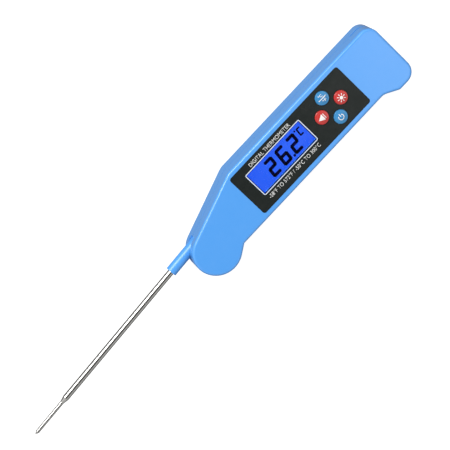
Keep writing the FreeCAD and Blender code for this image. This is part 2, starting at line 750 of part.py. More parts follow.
def battery():
    """Coin cell with a stepped rim, and the two contacts that come down from the board."""
    can = cylinder("cell_can", "cell_radius", "cell_height - 0.5", "cell_x", "cell_middle",
                   "cell_bottom")
    lid = cylinder("cell_lid", "cell_radius - 1.6", "cell_height", "cell_x", "cell_middle",
                   "cell_bottom")
    node("coin_cell", fuse("coin_cell", can, lid))
    post = box("plus_leg", "contact_thickness", "contact_width",
               "board_bottom - lug_top - running_gap", "cell_x + cell_radius + 0.1",
               "cell_middle - contact_width / 2", "lug_top + running_gap")
    foot = box("plus_foot", "3", "contact_width", "contact_thickness",
               "cell_x + cell_radius + 0.1", "cell_middle - contact_width / 2",
               "board_bottom - contact_thickness")
    node("contact_plus", fuse("contact_plus", post, foot))
    body = new_body("minus_body")
    sketch = sketch_in(body, "XZ_Plane", "minus_sketch")
    high = "board_bottom"
    low = "cell_top + 0.05"
    thick = "contact_thickness"
    polygon(sketch, [
        ("cell_x - 8", high), ("cell_x - 8", f"{high} - {thick}"),
        ("cell_x - 5.2", f"{high} - {thick}"), ("cell_x - 1.6", low), ("cell_x + 1.6", low),
        ("cell_x + 2.6", f"{low} + 1"), ("cell_x + 2.2", f"{low} + 1.2"),
        ("cell_x + 1.4", f"{low} + {thick}"), ("cell_x - 1.4", f"{low} + {thick}"),
        ("cell_x - 5", high),
    ])
    pad(body, sketch, "contact_width", midplane=True)
    node("contact_minus", place(body, y="cell_middle"))


def screw(name, spot, shank, head, length, head_low):
    """One cross-head screw, its head at the bottom."""
    x, y = spot
    cap = cylinder(name + "_head", f"{head} / 2", "head_height", x, y, head_low)
    stem = cylinder(name + "_shank", f"{shank} / 2", f"{length} + head_height", x, y, head_low)
    slots = []
    for turn, (long, wide) in enumerate(((f"{head} * 0.6", "0.6"), ("0.6", f"{head} * 0.6"))):
        slots.append(box(f"{name}_cross_{turn}", long, wide, "1.2", f"{x} - ({long}) / 2",
                         f"{y} - ({wide}) / 2", f"{head_low} - 0.4"))
    return cut(name, fuse(name + "_blank", cap, stem), *slots)


def screws():
    case = [screw("case_screw_" + name, spot, "case_screw", "case_screw_head",
                  "case_screw_length", "screw_head_bottom")
            for name, spot in CASE_SCREWS.items()]
    node("case_screws", group("case_screws", *case))
    board = [screw("board_screw_" + name, spot, "board_screw", "board_screw_head",
                   "board_screw_length", "board_bottom - head_height")
             for name, spot in BOARD_SCREWS.items()]
    node("board_screws", group("board_screws", *board))


def pivot():
    """Steel pin through the hub, and the spring washer that gives the hinge its drag."""
    body = new_body("pin_body")
    sketch = sketch_in(body, "XZ_Plane", "pin_sketch")
    low = "wall + 0.1"
    high = "front_inside - 0.1"
    polygon(sketch, [
        ("0", low), ("pivot_radius - 0.4", low), ("pivot_radius", f"{low} + 0.4"),
        ("pivot_radius", f"{high} - 0.4"), ("pivot_radius - 0.4", high), ("0", high),
    ])
    revolve(body, sketch, "Z_Axis")
    node("pivot_pin", place(body))
    washer_low = "middle + hub_thickness / 2 + face_gap / 2"
    disc = cylinder("washer_disc", "boss_radius - 0.3", "washer_thickness", z=washer_low)
    eye = cylinder("washer_eye", "pivot_radius + 0.15", "2 * washer_thickness",
                   z=f"{washer_low} - washer_thickness / 2")
    node("friction_washer", cut("friction_washer", disc, eye))


def set_on_probe(thing):
    """Turn a probe piece, modelled along +X, to the probe's open position beside the pivot."""
    angle = size("probe_open_angle")
    side = math.radians(angle - 90)
    offset = size("probe_offset")
    base = Vector(offset * math.cos(side), offset * math.sin(side), size("middle"))
    thing.Placement = FreeCAD.Placement(base, Rotation(Vector(0, 0, 1), angle))
    return thing


def probe_hub():
    """Hub disc round the pivot, and the round stem that holds the tube beside it."""
    disc = cylinder("hub_disc", "hub_radius", "hub_thickness", 0, "probe_offset",
                    "-hub_thickness / 2")
    stem = rod("stem", "stem_radius", "stem_length")
    bore = cylinder("hub_bore", "pivot_radius + pivot_gap", "2 * hub_thickness", 0, "probe_offset",
                    "-hub_thickness")
    socket = rod("tube_bore", "crimp_radius + tube_gap", "tube_socket + 1", "stem_length - tube_socket")
    seat = rod("seal_bore", "crimp_radius + seal_width", "seal_depth + 1",
               "stem_length - seal_depth")
    way = rod("wire_way", "crimp_radius - tube_wall", "stem_length", "2")
    exit_hole = cylinder("wire_exit", "crimp_radius - tube_wall", "hub_thickness", "3", 0, 0)
    hub = cut("probe_hub", fuse("hub_blank", disc, stem), bore, socket, seat, way, exit_hole)
    node("probe_hub", set_on_probe(hub))


def probe_tube():
    """Steel tube, crimped where the stem holds it, drawn down to a neck and closed in a cone."""
    body = new_body("tube_body")
    sketch = sketch_in(body, "XY_Plane", "tube_sketch")
    polygon(sketch, [
        ("stem_length - tube_socket", "crimp_radius - tube_wall"),
        ("stem_length - tube_socket", "crimp_radius"),
        ("stem_length", "crimp_radius"),
        ("stem_length", "tube_radius"),
        ("taper_start", "tube_radius"),
        ("neck_start", "neck_radius"),
        ("probe_length - point_length", "neck_radius"),
        ("probe_length", "0"),
        ("probe_length - point_length", "0"),
        ("probe_length - point_length - 0.4", "neck_radius - tube_wall"),
        ("neck_start", "neck_radius - tube_wall"),
        ("taper_start", "tube_radius - tube_wall"),
        ("stem_length + tube_wall", "tube_radius - tube_wall"),
        ("stem_length + tube_wall", "crimp_radius - tube_wall"),
    ])
    revolve(body, sketch)
    node("probe_tube", set_on_probe(body))


def sensor():
    """Sensor bead in the tip, its two wires in the tube, and the seal at the stem's mouth."""
    bead_start = "probe_length - point_length - 1.2 - bead_length"
    shank = rod("bead_shank", "neck_radius - tube_wall - 0.1", "bead_length", bead_start)
    nose = doc.addObject("Part::Sphere", "bead_nose")
    bind(nose, Radius="neck_radius - tube_wall - 0.1")
    place(nose, f"{bead_start} + bead_length")
    node("sensor_bead", set_on_probe(fuse("sensor_bead", shank, nose)))
    wires = [rod(f"sensor_wire_{name}", "wire_diameter / 2", f"{bead_start} - 3", "3",
                 f"{side} * wire_diameter") for name, side in (("red", 1), ("black", -1))]
    node("sensor_wires", set_on_probe(group("sensor_wires", *wires)))
    ring = rod("seal_ring", "crimp_radius + seal_width - tube_gap", "seal_depth",
               "stem_length - seal_depth")
    eye = rod("seal_eye", "crimp_radius + tube_gap", "2 * seal_depth", "stem_length - 1.5 * seal_depth")
    node("stem_seal", set_on_probe(cut("stem_seal", ring, eye)))


def bent_wire(points, bend, radius):
    """A round wire along straight runs joined by tangent arcs."""
    edges = []
    at = points[0]
    for before, corner, after in zip(points, points[1:], points[2:]):
        come = (corner - before).normalize()
        leave = (after - corner).normalize()
        half = come.getAngle(leave) / 2
        start = corner - come * (bend * math.tan(half))
        end = corner + leave * (bend * math.tan(half))
        inward = (leave - come).normalize()
        middle = corner + inward * (bend / math.cos(half) - bend)
        edges.append(Part.LineSegment(at, start).toShape())
        edges.append(Part.Arc(start, middle, end).toShape())
        at = end
    edges.append(Part.LineSegment(at, points[-1]).toShape())
    path = Part.Wire(edges)
    section = Part.Circle(points[0], points[1] - points[0], radius).toShape()
    return path.makePipeShell([Part.Wire([section])], True, True)


def board_leads():
    """Two insulated leads from above the hub, through the casing's lead door, to the board."""
    radius = 0.45
    deck = size("middle") + size("hub_thickness") / 2 + 3 * radius
    plug = size("board_top") + 1.5 * radius
    start = size("board_start")
    leads = []
    for side in (-1, 1):
        row = size("panel_middle") - 3.35 + side * 0.8
        points = [
            Vector(size("boss_radius") + 1.2, row - 1.5, deck),
            Vector(size("cavity_start") - 4, row, deck),
            Vector(start - 6, row + 1, deck),
            Vector(start - 2.5, row + 1, plug),
            Vector(start + 0.9, row + 1, plug),
        ]
        leads.append(bent_wire(points, 2.0, radius))
    thing = doc.addObject("Part::Feature", "board_leads")
    thing.Shape = Part.makeCompound(leads)
    node("board_leads", thing)


def build():
    outline = casing_outline()
    block = rounded_block(outline)
    hollow = casing_hollow(outline)
    front_shell(block, hollow)
    rear_shell(block, hollow)
    display_panel()
    display_stack()
    circuit_board(outline)
    buttons()
    switches()
    battery()
    battery_door()
    screws()
    pivot()
    probe_hub()
    probe_tube()
    sensor()
    board_leads()


def check():
    """Refuse a failed feature, a null shape or an invalid one."""
    for thing in doc.Objects:
        if {"Invalid", "Error"} & set(thing.State):
            raise SystemExit(f"{thing.Label} failed: {thing.State}")
    for thing in nodes:
        if thing.Shape.isNull() or not thing.Shape.isValid() or not thing.Shape.Solids:
            raise SystemExit(f"{thing.Label} has no valid solid")


def export():
    os.makedirs("parts", exist_ok=True)
    for thing in nodes:
        thing.Shape.exportStep(os.path.join("parts", thing.Label + ".step"))
        print(f"{thing.Label}: {len(thing.Shape.Solids)} solids, {thing.Shape.Volume:.1f} mm3")


dims = fill_sheet()
build()
doc.recompute()
check()
export()
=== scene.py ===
"""Looks of the folding probe thermometer: finishes, printed legends, display digits and caps."""

import math

import bpy
from mathutils import Matrix, Vector


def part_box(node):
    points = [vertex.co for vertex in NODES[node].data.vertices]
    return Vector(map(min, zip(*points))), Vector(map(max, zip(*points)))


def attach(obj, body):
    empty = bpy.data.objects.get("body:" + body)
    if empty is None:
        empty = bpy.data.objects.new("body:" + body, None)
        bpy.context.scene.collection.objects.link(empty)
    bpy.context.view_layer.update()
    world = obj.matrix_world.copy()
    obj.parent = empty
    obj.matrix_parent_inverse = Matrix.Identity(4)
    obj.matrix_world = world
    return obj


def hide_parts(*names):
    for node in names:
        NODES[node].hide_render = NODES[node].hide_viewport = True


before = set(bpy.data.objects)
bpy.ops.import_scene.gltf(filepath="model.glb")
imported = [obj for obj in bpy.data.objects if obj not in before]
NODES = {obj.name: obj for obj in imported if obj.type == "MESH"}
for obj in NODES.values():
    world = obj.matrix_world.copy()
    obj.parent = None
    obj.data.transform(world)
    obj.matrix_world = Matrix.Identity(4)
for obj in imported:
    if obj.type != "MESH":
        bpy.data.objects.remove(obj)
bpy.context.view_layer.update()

MM = 0.001

# Display figures. Places are from the window's lower left corner, and sizes are in millimetres.
DIGIT_HEIGHT = 10.2
DIGIT_WIDTH = 5.9
SEGMENT = 1.75
DIGIT_SLANT = math.radians(6.5)
DIGIT_BASE = 2.1
DIGIT_STARTS = {"2": (9.95, 26.35), "6": (18.1,)}
POINT_AT = (25.7, 2.75)
POINT_RADIUS = 0.72
UNIT_AT = (34.9, 7.4)
UNIT_WIDTH = 2.7
UNIT_HEIGHT = 4.7
UNIT_STROKE = 0.85
DEGREE_FROM_UNIT = (-0.55, 4.35)
DEGREE_RADIUS = 0.5
INK_DEPTH = 0.06
INK_LIFT = 0.02

# How far a segment runs into its neighbours, as a share of its width.
SEGMENT_OVERLAP = 0.72

# The printed border on the pane, and the dark mask inside it, in millimetres.
BORDER_WIDTH = 0.44
BORDER_CORNER = 0.9
MASK_WIDTH = 0.25
MASK_CORNER = 0.3
PRINT_DEPTH = 0.04
PRINT_LIFT = 0.005

# Panel legends, in millimetres. Each line's middle is given from the window's left edge, and from
# its upper edge for the title or its lower edge for the range.
LEGEND_SIZE = 3.1
TITLE_AT = (20.3, 1.95)
TITLE_WIDTH = 29.6
RANGE_AT = (20.0, -2.3)
RANGE_WIDTH = 37.8

# How much bolder or finer the strokes of print are drawn, as a share of the letter size.
LEGEND_WEIGHT = -0.004
ICON_WEIGHT = 0.02

# Button caps, in millimetres: the flange that lies inside the panel, then how far each higher ring
# lies inside the straight wall and below the crown. The dome closes at CROWN_RADIUS, and
# CROWN_ROOM is left over it for the print.
FLANGE_LIP = 0.8
FLANGE_THICKNESS = 0.7
CAP_RINGS = ((0.0, 1.02), (0.08, 0.86), (0.26, 0.72), (0.52, 0.66), (0.72, 0.67), (0.86, 0.61),
             (1.25, 0.42), (1.85, 0.22), (2.6, 0.07), (3.2, 0.02))
CROWN_RADIUS = 0.01
CROWN_ROOM = 0.05
SHOULDER_ANGLE = 38

# Icons on the caps, in millimetres. Each is laid on its dome from above.
ICON_STROKE = 0.42
ICON_START = 1
ICON_LIFT = 0.015
ICON_DEPTH = 0.03
LETTER_SIZE = 1.9
LETTER_WIDTH = 2.3
CELSIUS_AT = (-0.1, 1.65)
FAHRENHEIT_AT = (0.2, -1.45)
RULE_LENGTH = 5.0
RULE_SHIFT = 0.1
BULB_RADIUS = 0.95
RAY_COUNT = 8
RAY_LENGTH = 0.95
RAY_REACH = 1.85
RING_RADIUS = 1.45
RING_STEPS = 28
RING_OVERLAP = 1.12
RING_OPENING = math.radians(38)
STROKE_LENGTH = 1.7
STROKE_HEIGHT = 1.15
ARROW_RADIUS = 2.2
ARROW_SHIFT = -0.35
STOP_LENGTH = 3.0
STOP_WIDTH = 0.4
STOP_SHIFT = 1.5

# The segments that each figure lights.
FIGURES = {"2": "top upper_right middle lower_left bottom",
           "6": "top upper_left middle lower_left lower_right bottom",
           "C": "top upper_left lower_left bottom"}


# ---------------------------------------------------------------- mesh helpers

def nothing_selected():
    """Leaves edit mode and deselects every object."""
    if bpy.context.object and bpy.context.object.mode != "OBJECT":
        bpy.ops.object.mode_set(mode="OBJECT")
    bpy.ops.object.select_all(action="DESELECT")


def pick(piece):
    """Makes a piece the only selected and active object."""
    nothing_selected()
    piece.select_set(True)
    bpy.context.view_layer.objects.active = piece


def named(name):
    """The newly added object, renamed with its mesh."""
    piece = bpy.context.object
    piece.name = name
    piece.data.name = name
    return piece


def settle(piece):
    """Puts a piece's place into its mesh, with its object at the origin."""
    pick(piece)
    bpy.ops.object.transform_apply(location=True, rotation=True, scale=True)
    return piece


def moved(piece, x, y, z):
    """Moves a piece to its place and settles it there."""
    piece.location = (x, y, z)
    return settle(piece)


def finish_with(piece, kind, **values):
    """Adds a modifier and applies it."""
    pick(piece)
    modifier = piece.modifiers.new(kind.lower(), kind)
    for key, value in values.items():
        setattr(modifier, key, value)
    bpy.ops.object.modifier_apply(modifier=modifier.name)
    return piece


def choose(piece, test):
    """In edit mode, selects only the vertices whose place passes the test."""
    bpy.ops.mesh.select_mode(type="VERT")
    bpy.ops.mesh.select_all(action="DESELECT")
    bpy.ops.object.mode_set(mode="OBJECT")
    for vertex in piece.data.vertices:
        vertex.select = test(vertex.co)
    bpy.ops.object.mode_set(mode="EDIT")


def thicken(piece, depth):
    """Extrudes a flat piece straight up into a closed one."""
    pick(piece)
    bpy.ops.object.mode_set(mode="EDIT")
    bpy.ops.mesh.select_all(action="SELECT")
    bpy.ops.mesh.extrude_region_move(TRANSFORM_OT_translate={"value": (0, 0, depth)})
    bpy.ops.mesh.select_all(action="SELECT")
    bpy.ops.mesh.normals_make_consistent(inside=False)
    bpy.ops.object.mode_set(mode="OBJECT")
    return piece


def join(name, pieces):
    """Joins pieces into one, under a new name."""
    nothing_selected()
    for piece in pieces:
        piece.select_set(True)
    bpy.context.view_layer.objects.active = pieces[0]
    if len(pieces) > 1:
        bpy.ops.object.join()
    return named(name)


def dress(piece, body, material, smooth=None):
    """Rides a finished piece on its body, with its material and smoothing angle."""
    piece.data.materials.clear()
    piece.data.materials.append(material)
    if smooth is not None:
        pick(piece)
        bpy.ops.object.shade_smooth_by_angle(angle=math.radians(smooth))
    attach(piece, body)
    return piece


def segment(width, length, x, y, turn):
    """One display segment with pointed ends: a hexagon that is pulled apart to its length."""
    radius = width / math.sqrt(3)
    bpy.ops.mesh.primitive_circle_add(vertices=6, radius=radius, fill_type="NGON")
    piece = named("segment")
    piece.rotation_euler = (0, 0, math.radians(30))
    settle(piece)
    bpy.ops.object.mode_set(mode="EDIT")
    for side in (1, -1):
        choose(piece, lambda co: co.x * side > 0.1 * radius)
        bpy.ops.transform.translate(value=(side * (length / 2 - radius), 0, 0))
    bpy.ops.object.mode_set(mode="OBJECT")
    piece.rotation_euler = (0, 0, turn)
    piece.location = (x, y, 0)
    return settle(piece)


def figure(name, lit, left, base, width, height, stroke):
    """A seven-segment figure from its lower left corner, leaning to the right."""
    half = (height - stroke) / 2
    columns = {"left": stroke / 2, "middle": width / 2, "right": width - stroke / 2}
    rows = {"bottom": stroke / 2, "lower": stroke / 2 + half * 0.5, "middle": height / 2,
            "upper": stroke / 2 + half * 1.5, "top": height - stroke / 2}
    made = []
    for key in lit.split():
        row, _, column = key.partition("_")
        x = left + columns[column or "middle"] + rows[row] * math.tan(DIGIT_SLANT)
        turn = math.pi / 2 - DIGIT_SLANT if column else 0.0
        length = (half if column else width - stroke) + stroke * SEGMENT_OVERLAP
        made.append(segment(stroke, length, x, base + rows[row], turn))
    return join(name, made)


def disc(name, radius, x, y, sides=32):
    """A flat disc, centred on x and y."""
    bpy.ops.mesh.primitive_circle_add(vertices=sides, radius=radius, fill_type="NGON",
                                      location=(x, y, 0))
    return settle(named(name))


def bar(name, length, width, x, y, turn=0.0):
    """A flat bar, centred on x and y."""
    bpy.ops.mesh.primitive_plane_add(size=1)
    piece = named(name)
    piece.scale = (length, width, 1)
    piece.rotation_euler = (0, 0, turn)
    return moved(piece, x, y, 0)


def frame_strip(name, corners, width, rounding):
    """A flat frame with rounded corners, from its outer corners."""
    left, floor, right, top = corners
    bpy.ops.mesh.primitive_plane_add(size=1)
    piece = named(name)
    piece.scale = (right - left, top - floor, 1)
    moved(piece, (left + right) / 2, (floor + top) / 2, 0)
    bpy.ops.object.mode_set(mode="EDIT")
    bpy.ops.mesh.select_all(action="SELECT")
    bpy.ops.mesh.bevel(offset=rounding, segments=6, affect="VERTICES")
    bpy.ops.mesh.select_all(action="SELECT")
    bpy.ops.mesh.inset(thickness=width, depth=0)
    bpy.ops.mesh.delete(type="FACE")
    bpy.ops.object.mode_set(mode="OBJECT")
    return piece


def words(name, text, size, x, y, width, weight):
    """A line of print as a flat mesh, centred on x and y and drawn to a width."""
    bpy.ops.object.text_add()
    label = bpy.context.object
    label.data.body = text
    label.data.size = size
    label.data.resolution_u = 4
    label.data.offset = size * weight
    bpy.ops.object.convert(target="MESH")
    piece = named(name)
    low, high = flat_box(piece)
    middle = (low + high) / 2
    moved(piece, -middle.x, -middle.y, 0)
    piece.scale = (width / (high.x - low.x), 1, 1)
    return moved(piece, x, y, 0)


def flat_box(piece):
    """The lowest and highest corner of a piece's box."""
    points = [vertex.co for vertex in piece.data.vertices]
    low = Vector(map(min, zip(*points)))
    high = Vector(map(max, zip(*points)))
    return low, high


# ---------------------------------------------------------------- shader groups

def new_group(name, inputs, outputs):
    """A shader group with named inputs and outputs, and its two end nodes."""
    group = bpy.data.node_groups.new(name, "ShaderNodeTree")
    for title, value in inputs:
        kind = "NodeSocketColor" if isinstance(value, tuple) else "NodeSocketFloat"
        socket = group.interface.new_socket(name=title, in_out="INPUT", socket_type=kind)
        socket.default_value = value
    for title, kind in outputs:
        group.interface.new_socket(name=title, in_out="OUTPUT", socket_type=kind)
    return group, group.nodes.new("NodeGroupInput"), group.nodes.new("NodeGroupOutput")


def math_node(tree, operation, first, second, clamp=False):
    """One operation on two numbers or outputs."""
    node = tree.nodes.new("ShaderNodeMath")
    node.operation = operation
    node.use_clamp = clamp
    for socket, value in zip(node.inputs, (first, second)):
        if isinstance(value, (int, float)):
            socket.default_value = value
        else:
            tree.links.new(value, socket)
    return node.outputs[0]


def noise_node(tree, place, scale, detail=3.0, roughness=0.5):
    """Soft noise at a place, with a fixed or linked scale."""
    node = tree.nodes.new("ShaderNodeTexNoise")
    node.inputs["Detail"].default_value = detail
    node.inputs["Roughness"].default_value = roughness
    tree.links.new(place, node.inputs["Vector"])
    if isinstance(scale, (int, float)):
        node.inputs["Scale"].default_value = scale
    else:
        tree.links.new(scale, node.inputs["Scale"])
    return node.outputs["Fac"]


def blend_colour(tree, amount, first, second):
    """Two colours or outputs, blended by an amount."""
    node = tree.nodes.new("ShaderNodeMix")
    node.data_type = "RGBA"
    tree.links.new(amount, node.inputs[0])
    for socket, value in ((node.inputs[6], first), (node.inputs[7], second)):
        if isinstance(value, tuple):
            socket.default_value = value
        else:
            tree.links.new(value, socket)
    return node.outputs[2]


def object_place(tree):
    """The place of a surface point in its piece."""
    return tree.nodes.new("ShaderNodeTexCoord").outputs["Object"]


# How much of the flow colour shows, how far smears and draw lines change the roughness, and how
# fast draw lines change along the metal beside across it.
FLOW_SHARE = 0.55
SMEAR_SPREAD = 0.18
DRAW_SPREAD = 0.06
DRAW_STRETCH = 0.02


def moulded_skin():
    """Fine spark-eroded grain and slow flow marks of a moulding."""
    group, source, sink = new_group(
        "moulded_skin",
        [("Colour", (0.5, 0.5, 0.5, 1)), ("Flow Colour", (0.5, 0.5, 0.5, 1)),
         ("Roughness", 0.4), ("Grain Scale", 4000.0)],
        [("Colour", "NodeSocketColor"), ("Roughness", "NodeSocketFloat"),
         ("Height", "NodeSocketFloat")])
    place = object_place(group)
    flow = noise_node(group, place, scale=28.0, detail=2.0)
    colour = blend_colour(group, math_node(group, "MULTIPLY", flow, FLOW_SHARE),
                          source.outputs["Colour"], source.outputs["Flow Colour"])
    grain = noise_node(group, place, source.outputs["Grain Scale"], detail=4.0, roughness=0.65)
    smear = noise_node(group, place, scale=160.0)
    wander = math_node(group, "MULTIPLY", math_node(group, "SUBTRACT", smear, 0.5), SMEAR_SPREAD)
    rough = math_node(group, "ADD", source.outputs["Roughness"], wander, clamp=True)
    group.links.new(colour, sink.inputs["Colour"])
    group.links.new(rough, sink.inputs["Roughness"])
    group.links.new(grain, sink.inputs["Height"])
    return group


def drawn_metal():
    """Long fine draw lines and faint handling marks of drawn steel, along the X axis."""
    group, source, sink = new_group(
        "drawn_metal",
        [("Colour", (0.6, 0.6, 0.6, 1)), ("Tint", (0.5, 0.5, 0.5, 1)), ("Roughness", 0.2),
         ("Line Scale", 2500.0)],
        [("Colour", "NodeSocketColor"), ("Roughness", "NodeSocketFloat"),
         ("Height", "NodeSocketFloat")])
    place = object_place(group)
    stretch = group.nodes.new("ShaderNodeMapping")
    stretch.inputs["Scale"].default_value = (DRAW_STRETCH, 1.0, 1.0)
    group.links.new(place, stretch.inputs["Vector"])
    lines = noise_node(group, stretch.outputs["Vector"], source.outputs["Line Scale"],
                       roughness=0.6)
    patches = noise_node(group, place, scale=90.0)
    colour = blend_colour(group, patches, source.outputs["Colour"], source.outputs["Tint"])
    spread = math_node(group, "MULTIPLY", math_node(group, "SUBTRACT", lines, 0.5), DRAW_SPREAD)
    rough = math_node(group, "ADD", source.outputs["Roughness"], spread, clamp=True)
    group.links.new(colour, sink.inputs["Colour"])
    group.links.new(rough, sink.inputs["Roughness"])
    group.links.new(lines, sink.inputs["Height"])
    return group


def surface_dust():
    """A thin film of dust that lightens a colour in soft patches."""
    group, source, sink = new_group(
        "surface_dust",
        [("Colour", (0.5, 0.5, 0.5, 1)), ("Dust", (0.8, 0.8, 0.78, 1)), ("Amount", 0.1),
         ("Speck Scale", 300.0)],
        [("Colour", "NodeSocketColor")])
    place = object_place(group)
    patches = noise_node(group, place, scale=35.0)
    specks = noise_node(group, place, source.outputs["Speck Scale"], detail=4.0, roughness=0.7)
    mask = math_node(group, "MULTIPLY", patches, specks)
    mask = math_node(group, "MULTIPLY", mask, source.outputs["Amount"], clamp=True)
    colour = blend_colour(group, mask, source.outputs["Colour"], source.outputs["Dust"])
    group.links.new(colour, sink.inputs["Colour"])
    return group


# ---------------------------------------------------------------- materials

# How high the grain of plastics and the draw lines of metals stand at full strength.
GRAIN_HEIGHT = 0.02 * MM
DRAW_HEIGHT = 0.01 * MM

# How fast the display's glow falls off along and across it, and its colours.
GLOW_FALL = (22, 50)
GLOW_EDGE = (0.006, 0.075, 0.92, 1)
GLOW_MIDDLE = (0.020, 0.130, 1.0, 1)
CLOUD_SHARE = 0.3

# How dark thin ink is beside full ink.
INK_THIN = 0.86


def new_material(name):
    """An empty material, its node tree and its shader."""
    material = bpy.data.materials.new(name)
    material.use_nodes = True
    shader = next(n for n in material.node_tree.nodes if n.type == "BSDF_PRINCIPLED")
    return material, material.node_tree, shader


def placed(tree, group, **values):
    """A group in a material's tree, with its inputs set."""
    node = tree.nodes.new("ShaderNodeGroup")
    node.node_tree = group
    for title, value in values.items():
        node.inputs[title.replace("_", " ")].default_value = value
    return node


def bumped(tree, shader, height, strength, distance):
    """Raises a surface by a height, over a distance in metres."""
    bump = tree.nodes.new("ShaderNodeBump")
    bump.inputs["Strength"].default_value = strength
    bump.inputs["Distance"].default_value = distance
    tree.links.new(height, bump.inputs["Height"])
    tree.links.new(bump.outputs["Normal"], shader.inputs["Normal"])


def plastic(name, colour, flow, roughness, grain_scale, grain, coat=0.0, coat_roughness=0.05,
            dust=0.0, ior=1.5):
    """Moulded plastic or rubber, from a mirror-smooth cap to a grained casing."""
    material, tree, shader = new_material(name)
    skin = placed(tree, SKIN, Colour=(*colour, 1), Flow_Colour=(*flow, 1), Roughness=roughness,
                  Grain_Scale=grain_scale)
    film = placed(tree, DUST, Amount=dust)
    tree.links.new(skin.outputs["Colour"], film.inputs["Colour"])
    tree.links.new(film.outputs["Colour"], shader.inputs["Base Color"])
    tree.links.new(skin.outputs["Roughness"], shader.inputs["Roughness"])
    bumped(tree, shader, skin.outputs["Height"], grain, GRAIN_HEIGHT)
    shader.inputs["IOR"].default_value = ior
    shader.inputs["Coat Weight"].default_value = coat
    shader.inputs["Coat Roughness"].default_value = coat_roughness
    return material


def metal(name, colour, tint, roughness, line_scale, lines):
    """Drawn or plated metal."""
    material, tree, shader = new_material(name)
    drawn = placed(tree, DRAWN, Colour=(*colour, 1), Tint=(*tint, 1), Roughness=roughness,
                   Line_Scale=line_scale)
    tree.links.new(drawn.outputs["Colour"], shader.inputs["Base Color"])
    tree.links.new(drawn.outputs["Roughness"], shader.inputs["Roughness"])
    bumped(tree, shader, drawn.outputs["Height"], lines, DRAW_HEIGHT)
    shader.inputs["Metallic"].default_value = 1.0
    return material


def backlit_glass():
    """Blue display glass, lit from behind and a little brighter towards its middle."""
    material, tree, shader = new_material("backlit_blue_glass")
    low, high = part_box("display_glass")
    middle = (low + high) / 2
    place = object_place(tree)
    mapping = tree.nodes.new("ShaderNodeMapping")
    along, across = GLOW_FALL
    mapping.inputs["Location"].default_value = (-middle.x * along, -middle.y * across, 0)
    mapping.inputs["Scale"].default_value = (along, across, 0)
    tree.links.new(place, mapping.inputs["Vector"])
    glow = tree.nodes.new("ShaderNodeTexGradient")
    glow.gradient_type = "SPHERICAL"
    tree.links.new(mapping.outputs["Vector"], glow.inputs["Vector"])
    cloud = noise_node(tree, place, scale=120.0, detail=2.0)
    cloud = math_node(tree, "MULTIPLY", cloud, CLOUD_SHARE)
    amount = math_node(tree, "ADD", glow.outputs["Fac"], cloud)
    colour = blend_colour(tree, amount, GLOW_EDGE, GLOW_MIDDLE)
    tree.links.new(colour, shader.inputs["Emission Color"])
    shader.inputs["Emission Strength"].default_value = 0.92
    shader.inputs["Base Color"].default_value = (0.001, 0.004, 0.02, 1)
    shader.inputs["Roughness"].default_value = 0.25
    return material


def clear_pane():
    """The clear pane over the display."""
    material, tree, shader = new_material("clear_pane")
    skin = placed(tree, SKIN, Colour=(0.95, 0.97, 1, 1), Flow_Colour=(0.92, 0.95, 1, 1))
    tree.links.new(skin.outputs["Colour"], shader.inputs["Base Color"])
    shader.inputs["Roughness"].default_value = 0.03
    shader.inputs["Transmission Weight"].default_value = 1.0
    shader.inputs["IOR"].default_value = 1.2
    return material


def ink(name, colour, roughness, ior=1.45):
    """Printed or liquid-crystal ink, whose colour is slightly uneven."""
    material, tree, shader = new_material(name)
    thin = [part * INK_THIN for part in colour]
    skin = placed(tree, SKIN, Colour=(*colour, 1), Flow_Colour=(*thin, 1), Roughness=roughness)
    tree.links.new(skin.outputs["Colour"], shader.inputs["Base Color"])
    tree.links.new(skin.outputs["Roughness"], shader.inputs["Roughness"])
    shader.inputs["IOR"].default_value = ior
    return material


SKIN = moulded_skin()
DRAWN = drawn_metal()
DUST = surface_dust()

CASING_BLUE = plastic(
    "casing_blue_abs", colour=(0.064, 0.318, 0.80), flow=(0.072, 0.333, 0.83), roughness=0.36,
    grain_scale=5200.0, grain=0.15, coat=0.8, coat_roughness=0.21, dust=0.04)
HUB_BLUE = plastic(
    "hub_blue_abs", colour=(0.066, 0.320, 0.80), flow=(0.074, 0.336, 0.83), roughness=0.36,
    grain_scale=5200.0, grain=0.12, coat=0.35, coat_roughness=0.34, dust=0.04)
PANEL_BLACK = plastic(
    "panel_black_print", colour=(0.009, 0.0125, 0.0115), flow=(0.012, 0.0155, 0.014),
    roughness=0.26, grain_scale=3500.0, grain=0.10, dust=0.03, ior=1.22)
BUTTON_BLUE = plastic(
    "button_blue_gloss", colour=(0.030, 0.215, 0.46), flow=(0.036, 0.24, 0.52), roughness=0.20,
    grain_scale=2500.0, grain=0.05, coat=0.25)
BUTTON_RED = plastic(
    "button_red_gloss", colour=(0.48, 0.026, 0.022), flow=(0.54, 0.032, 0.026), roughness=0.20,
    grain_scale=2500.0, grain=0.05, coat=0.25)
RUBBER = plastic(
    "seal_rubber", colour=(0.025, 0.025, 0.026), flow=(0.035, 0.035, 0.036), roughness=0.62,
    grain_scale=3000.0, grain=0.3)
BOARD = plastic(
    "board_green_mask", colour=(0.015, 0.16, 0.06), flow=(0.02, 0.20, 0.08), roughness=0.30,
    grain_scale=1800.0, grain=0.1)
BLACK_MOULD = plastic(
    "black_moulding", colour=(0.02, 0.02, 0.02), flow=(0.03, 0.03, 0.03), roughness=0.50,
    grain_scale=3000.0, grain=0.2)
GREY_MOULD = plastic(
    "grey_moulding", colour=(0.11, 0.11, 0.12), flow=(0.14, 0.14, 0.15), roughness=0.50,
    grain_scale=3000.0, grain=0.2)
DIFFUSER = plastic(
    "white_diffuser", colour=(0.82, 0.84, 0.86), flow=(0.88, 0.90, 0.92), roughness=0.45,
    grain_scale=2000.0, grain=0.1)
